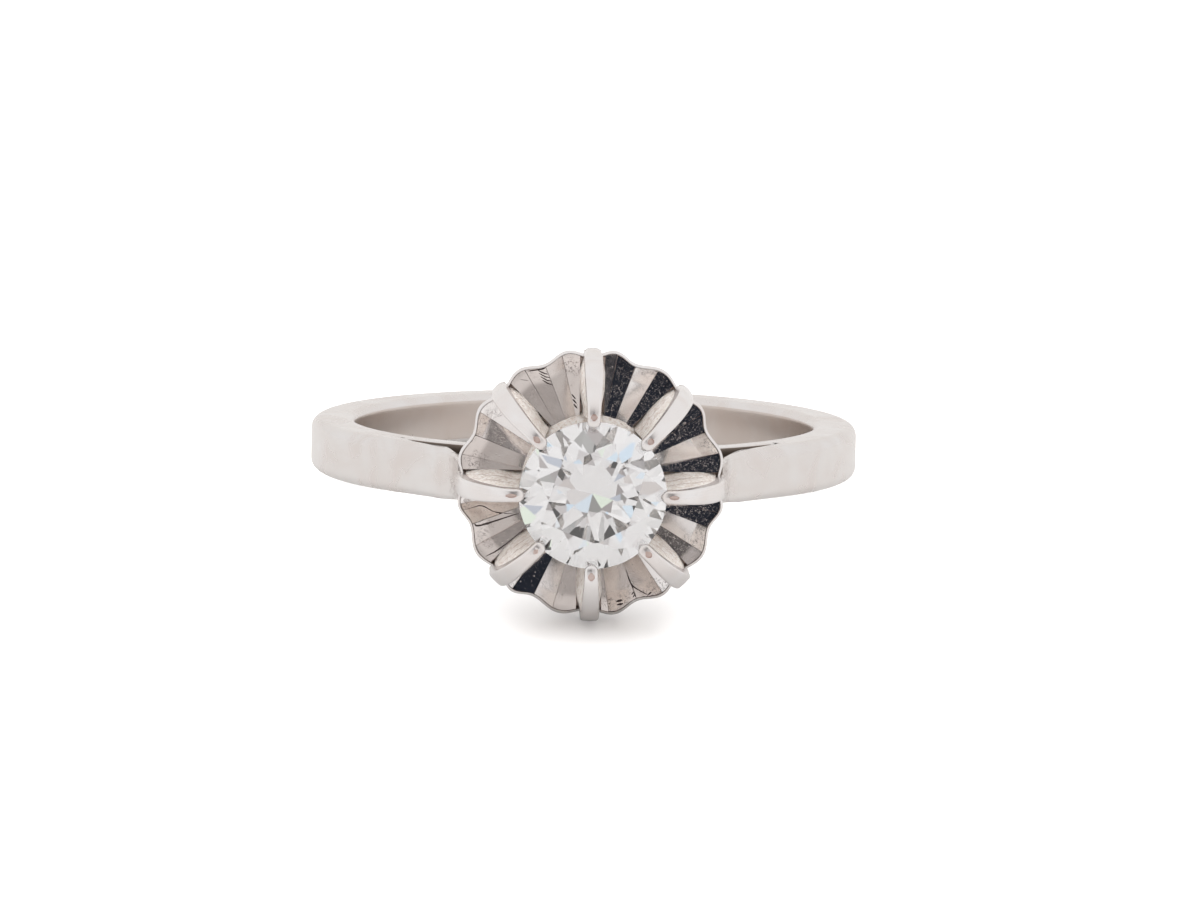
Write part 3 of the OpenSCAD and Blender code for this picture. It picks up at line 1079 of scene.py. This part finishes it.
for index in range(CLAWS):
    verts, faces, kinds = claw_bar(index)
    make(f"claw_{index + 1}", verts, faces, [CLAW_GOLD, NOTCH_REFLECTION], smooth_angle=35, kinds=kinds)
    verts, faces, kinds = claw_web(index)
    make(f"claw_web_{index + 1}", verts, faces, [GRAIN, RECESS_SHADE], smooth_angle=60, kinds=kinds)


# The stone

STONE_SEED = 9
# How far the whole stone, and its pavilion against its crown, are turned, in degrees.
STONE_TURN = 4.0
PAVILION_TURN = 5.0
# How far out the star facets and how far up the pavilion the lower facets reach, as shares of its radius.
STAR_SHARE = 0.77
LOWER_SHARE = 0.30
FACET_HALF = 22.5
# The points of the drum that it is cut from, and how far the drum stands over the table and under the culet.
DRUM_POINTS = 128
DRUM_OVER = 0.3


def stone_point(r, a, h):
    """A point of the stone, whose girdle's middle is at the origin and whose table is up."""
    return Vector((r * cos(a), r * sin(a), h))


def facet_planes(table_h, culet_h):
    """The 57 planes that cut the stone, each a point and a direction, a little off true."""
    rng = random.Random(STONE_SEED)
    up = GIRDLE_T / 2
    star_r = STAR_SHARE * STONE_R
    lower_r = LOWER_SHARE * STONE_R
    half = cos(FACET_HALF)
    star_h = table_h - (star_r * half - TABLE_R) * tan(CROWN_A)
    lower_h = culet_h + lower_r * half * tan(PAVILION_A)
    planes = []

    def cut(p, q, r, off):
        """Adds the plane through three points, turned a little, which faces away from the stone's middle."""
        middle = (p + q + r) / 3
        normal = (q - p).cross(r - p).normalized()
        if normal.dot(middle - Vector((0, 0, -0.2))) < 0:
            normal = -normal
        normal += Vector([rng.uniform(-off, off) for k in range(3)])
        planes.append((middle, normal.normalized()))

    for i in range(8):
        a = 45.0 * i
        low = a + PAVILION_TURN
        table = stone_point(TABLE_R, a, table_h)
        stars = [stone_point(star_r, a + side * FACET_HALF, star_h) for side in (-1, 1)]
        lowers = [stone_point(lower_r, low + side * FACET_HALF, lower_h) for side in (-1, 1)]
        cut(table, stars[0], stars[1], 0.006)
        cut(table, stone_point(TABLE_R, a + 45, table_h), stars[1], 0.008)
        cut(stone_point(0, 0, culet_h), lowers[0], lowers[1], 0.006)
        for side, star, lower in zip((-FACET_HALF, FACET_HALF), stars, lowers):
            cut(star, stone_point(STONE_R, a, up), stone_point(STONE_R, a + side, up), 0.008)
            cut(lower, stone_point(STONE_R, low, -up), stone_point(STONE_R, low + side, -up), 0.006)
    planes.append((Vector((0, 0, table_h - 0.01)), Vector((0.002, -0.003, 1)).normalized()))
    return planes


def brilliant():
    """A round brilliant, cut from a drum by its 57 facets."""
    up = GIRDLE_T / 2
    table_h = up + (STONE_R - TABLE_R) * tan(CROWN_A)
    culet_h = -up - STONE_R * tan(PAVILION_A)
    angles = [k * 360 / DRUM_POINTS for k in range(DRUM_POINTS)]
    bm = bmesh.new()
    top = [bm.verts.new(stone_point(STONE_R, a, table_h + DRUM_OVER)) for a in angles]
    low = [bm.verts.new(stone_point(STONE_R, a, culet_h - DRUM_OVER)) for a in angles]
    bm.faces.new(top)
    bm.faces.new(low[::-1])
    for a, b, c, d in bridge(top, low):
        bm.faces.new((b, a, d, c))
    for point, normal in facet_planes(table_h, culet_h):
        done = bmesh.ops.bisect_plane(bm, geom=bm.verts[:] + bm.edges[:] + bm.faces[:], dist=1e-6,
                                      plane_co=point, plane_no=normal, clear_outer=True)
        rim_edges = [g for g in done["geom_cut"] if isinstance(g, bmesh.types.BMEdge)]
        if rim_edges:
            bmesh.ops.edgeloop_fill(bm, edges=rim_edges)
    bmesh.ops.remove_doubles(bm, verts=bm.verts, dist=2e-4)
    bm.verts.index_update()
    turn = Matrix.Rotation(math.radians(STONE_TURN), 3, "Z")
    verts = [on_head((turn @ v.co).xy, STONE_H + v.co.z) for v in bm.verts]
    faces = [tuple(v.index for v in f.verts) for f in bm.faces]
    bm.free()
    return verts, faces


verts, faces = brilliant()
stone = make("brilliant", verts, faces, [STONE], slot="diamond", flat=True)

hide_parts("diamond")
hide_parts("ring_mount")


# Stage, light and camera

# Half the floor's width, in metres, and what the metal sees of its colour.
FLOOR_HALF = 1.5
FLOOR_IN_METAL = (0.50, 0.495, 0.49)


def stage_floor():
    s = FLOOR_HALF
    me = bpy.data.meshes.new("floor")
    me.from_pydata([(-s, -s, 0), (s, -s, 0), (s, s, 0), (-s, s, 0)], [], [(0, 1, 2, 3)])
    ob = bpy.data.objects.new("floor", me)
    bpy.context.collection.objects.link(ob)
    mat, nodes, shader = new_material("floor_white", {"Roughness": 0.9, "Specular IOR Level": 0.1})
    clouds = nodes.noise(nodes.coords(IN_FLOOR), scale=1.0, detail=2.0)
    white = nodes.ramp(clouds, [(0.3, (0.95, 0.95, 0.95)), (0.7, (0.96, 0.96, 0.96))])
    # What the metal shows of the floor is held down, so that the metal keeps its shape.
    path = nodes.add("ShaderNodeLightPath")
    colour = nodes.mix(path.outputs["Is Glossy Ray"], white, FLOOR_IN_METAL)
    nodes.feed(shader.inputs["Base Color"], colour)
    me.materials.append(mat)


stage_floor()

# The camera's roll in degrees, its distance in millimetres and its scale at the ring.
CAM_ROLL = 1.0
CAM_DIST = 220.0
PX_PER_MM = 27.2
# The photo's size, and where the middle of the finger hole lies in it, in pixels.
PHOTO_W = 1200
PHOTO_H = 900
HOLE_PX = 583.6
HOLE_PY = 444.7
SENSOR_W = 36.0


def camera():
    """The photo's camera, placed in the ring's own frame and laid down with it."""
    pos = CAM_DIST * Vector((sin(CAM_YAW) * cos(CAM_EL), -cos(CAM_YAW) * cos(CAM_EL), sin(CAM_EL)))
    ahead = -pos.normalized()
    right = ahead.cross(Vector((0, 0, 1))).normalized()
    up = right.cross(ahead)
    s = sin(CAM_ROLL)
    c = cos(CAM_ROLL)
    right, up = right * c + up * s, up * c - right * s
    off_x = (HOLE_PX - PHOTO_W / 2) / PX_PER_MM
    off_y = -(HOLE_PY - PHOTO_H / 2) / PX_PER_MM
    ahead = (-right * off_x - up * off_y - pos).normalized()
    right = (right - ahead * right.dot(ahead)).normalized()
    up = right.cross(ahead)
    turn = Matrix((right, up, -ahead)).transposed().to_4x4()
    turn.translation = pos * MM
    cam = bpy.data.cameras.new("camera")
    cam.sensor_width = SENSOR_W
    cam.lens = PX_PER_MM * CAM_DIST / PHOTO_W * SENSOR_W
    cam.clip_start = 0.01
    cam.clip_end = 10
    ob = bpy.data.objects.new("camera", cam)
    bpy.context.collection.objects.link(ob)
    ob.matrix_world = LAID @ turn
    bpy.context.scene.camera = ob
    return ob


cam = camera()

# The bright tent round the ring, as the metal and the stone see it: the angle from the camera's direction in
# degrees, and the grey there. The metal also sees the camera as a dark disc, and a warmer back.
METAL_TENT = [(6.8, 0.14), (8.6, 0.40), (10, 0.46), (13, 0.57), (19, 0.74), (34, 0.86), (130, 0.85)]
STONE_TENT = [(0, 0.32), (7, 0.34), (9, 0.58), (15, 0.76), (40, 0.86), (180, 0.84)]
DISC_HALF = 5.4
DISC_COLOUR = (0.020, 0.024, 0.034)
BACK_A = 158
BACK_COLOUR = (0.79, 0.765, 0.74)

# What only the stone shows: dark and tinted gaps in the tent. Each has its angle from the camera, its place
# on the picture's clock face, its half width, all in degrees, and its colour.
STONE_SPOTS = [
    (26, 0, 8, (0.27, 0.265, 0.25)),
    (26, 45, 8, (0.64, 0.77, 0.89)),
    (26, 90, 8, (0.60, 0.55, 0.53)),
    (26, 135, 7, (0.66, 0.78, 0.88)),
    (26, 270, 8, (0.48, 0.51, 0.58)),
    (36, 318, 9, (0.40, 0.36, 0.35)),
    (42, 285, 8, (0.79, 0.87, 0.74)),
    (48, 75, 8, (0.28, 0.25, 0.25)),
    (62, 340, 9, (0.32, 0.30, 0.30)),
    (58, 30, 7, (0.70, 0.83, 0.93)),
]
# How many degrees a gap's edge fades over.
SPOT_FADE = 2
# The tent's strength, and what is added to it for the light that falls on dull surfaces.
TENT_STRENGTH = 1.12
DULL_EXTRA = 1.15


def warmed(grey, green_loss, blue_loss):
    """A grey with less green and blue, the more so the darker it is."""
    return (grey, grey * (1 - green_loss * (1 - grey)), grey * (1 - blue_loss * (1 - grey)))


def world_light():
    """A bright tent, darker where the camera looks in, with coloured gaps for the stone."""
    scene = bpy.context.scene
    world = bpy.data.worlds.new("studio")
    world.use_nodes = True
    # The tent is even enough to be found by chance rays, which leaves less noise on the metal.
    world.cycles.sampling_method = "NONE"
    scene.world = world
    nodes = Nodes(world.node_tree)
    background = world.node_tree.nodes["Background"]
    coord = nodes.add("ShaderNodeTexCoord")

    def half_turns_from(direction):
        dot = nodes.vector_calc("DOT_PRODUCT", coord.outputs["Generated"], direction)
        return nodes.calc("DIVIDE", nodes.calc("ARCCOSINE", dot), math.pi)

    def by_angle(half_turns, stops):
        return nodes.ramp(half_turns, [(degrees / 180, colour) for degrees, colour in stops])

    away = half_turns_from((cam.matrix_world.translation - Vector((0, 0, 0.003))).normalized())
    disc = [(0, DISC_COLOUR), (DISC_HALF, DISC_COLOUR)]
    ring = [(degrees, warmed(grey, 0.075, 0.11)) for degrees, grey in METAL_TENT]
    metal_sees = by_angle(away, disc + ring + [(BACK_A, BACK_COLOUR)])
    stone_sees = by_angle(away, [(degrees, warmed(grey, 0.14, 0.16)) for degrees, grey in STONE_TENT])
    turn = cam.matrix_world.to_3x3()
    for away_deg, clock_deg, width, colour in STONE_SPOTS:
        side = sin(away_deg)
        spot = turn @ Vector((side * sin(clock_deg), side * cos(clock_deg), cos(away_deg)))
        stops = [(0, (1, 1, 1)), (width, (1, 1, 1)), (width + SPOT_FADE, (0, 0, 0))]
        stone_sees = nodes.mix(by_angle(half_turns_from(spot), stops), stone_sees, colour)
    path = nodes.add("ShaderNodeLightPath")
    in_stone = nodes.calc("GREATER_THAN", path.outputs["Transmission Depth"], 0.5)
    nodes.feed(background.inputs["Color"], nodes.mix(in_stone, metal_sees, stone_sees))
    strength = nodes.calc("MULTIPLY_ADD", path.outputs["Is Diffuse Ray"], DULL_EXTRA, TENT_STRENGTH)
    nodes.feed(background.inputs["Strength"], strength)
    scene.view_settings.view_transform = "Standard"


world_light()
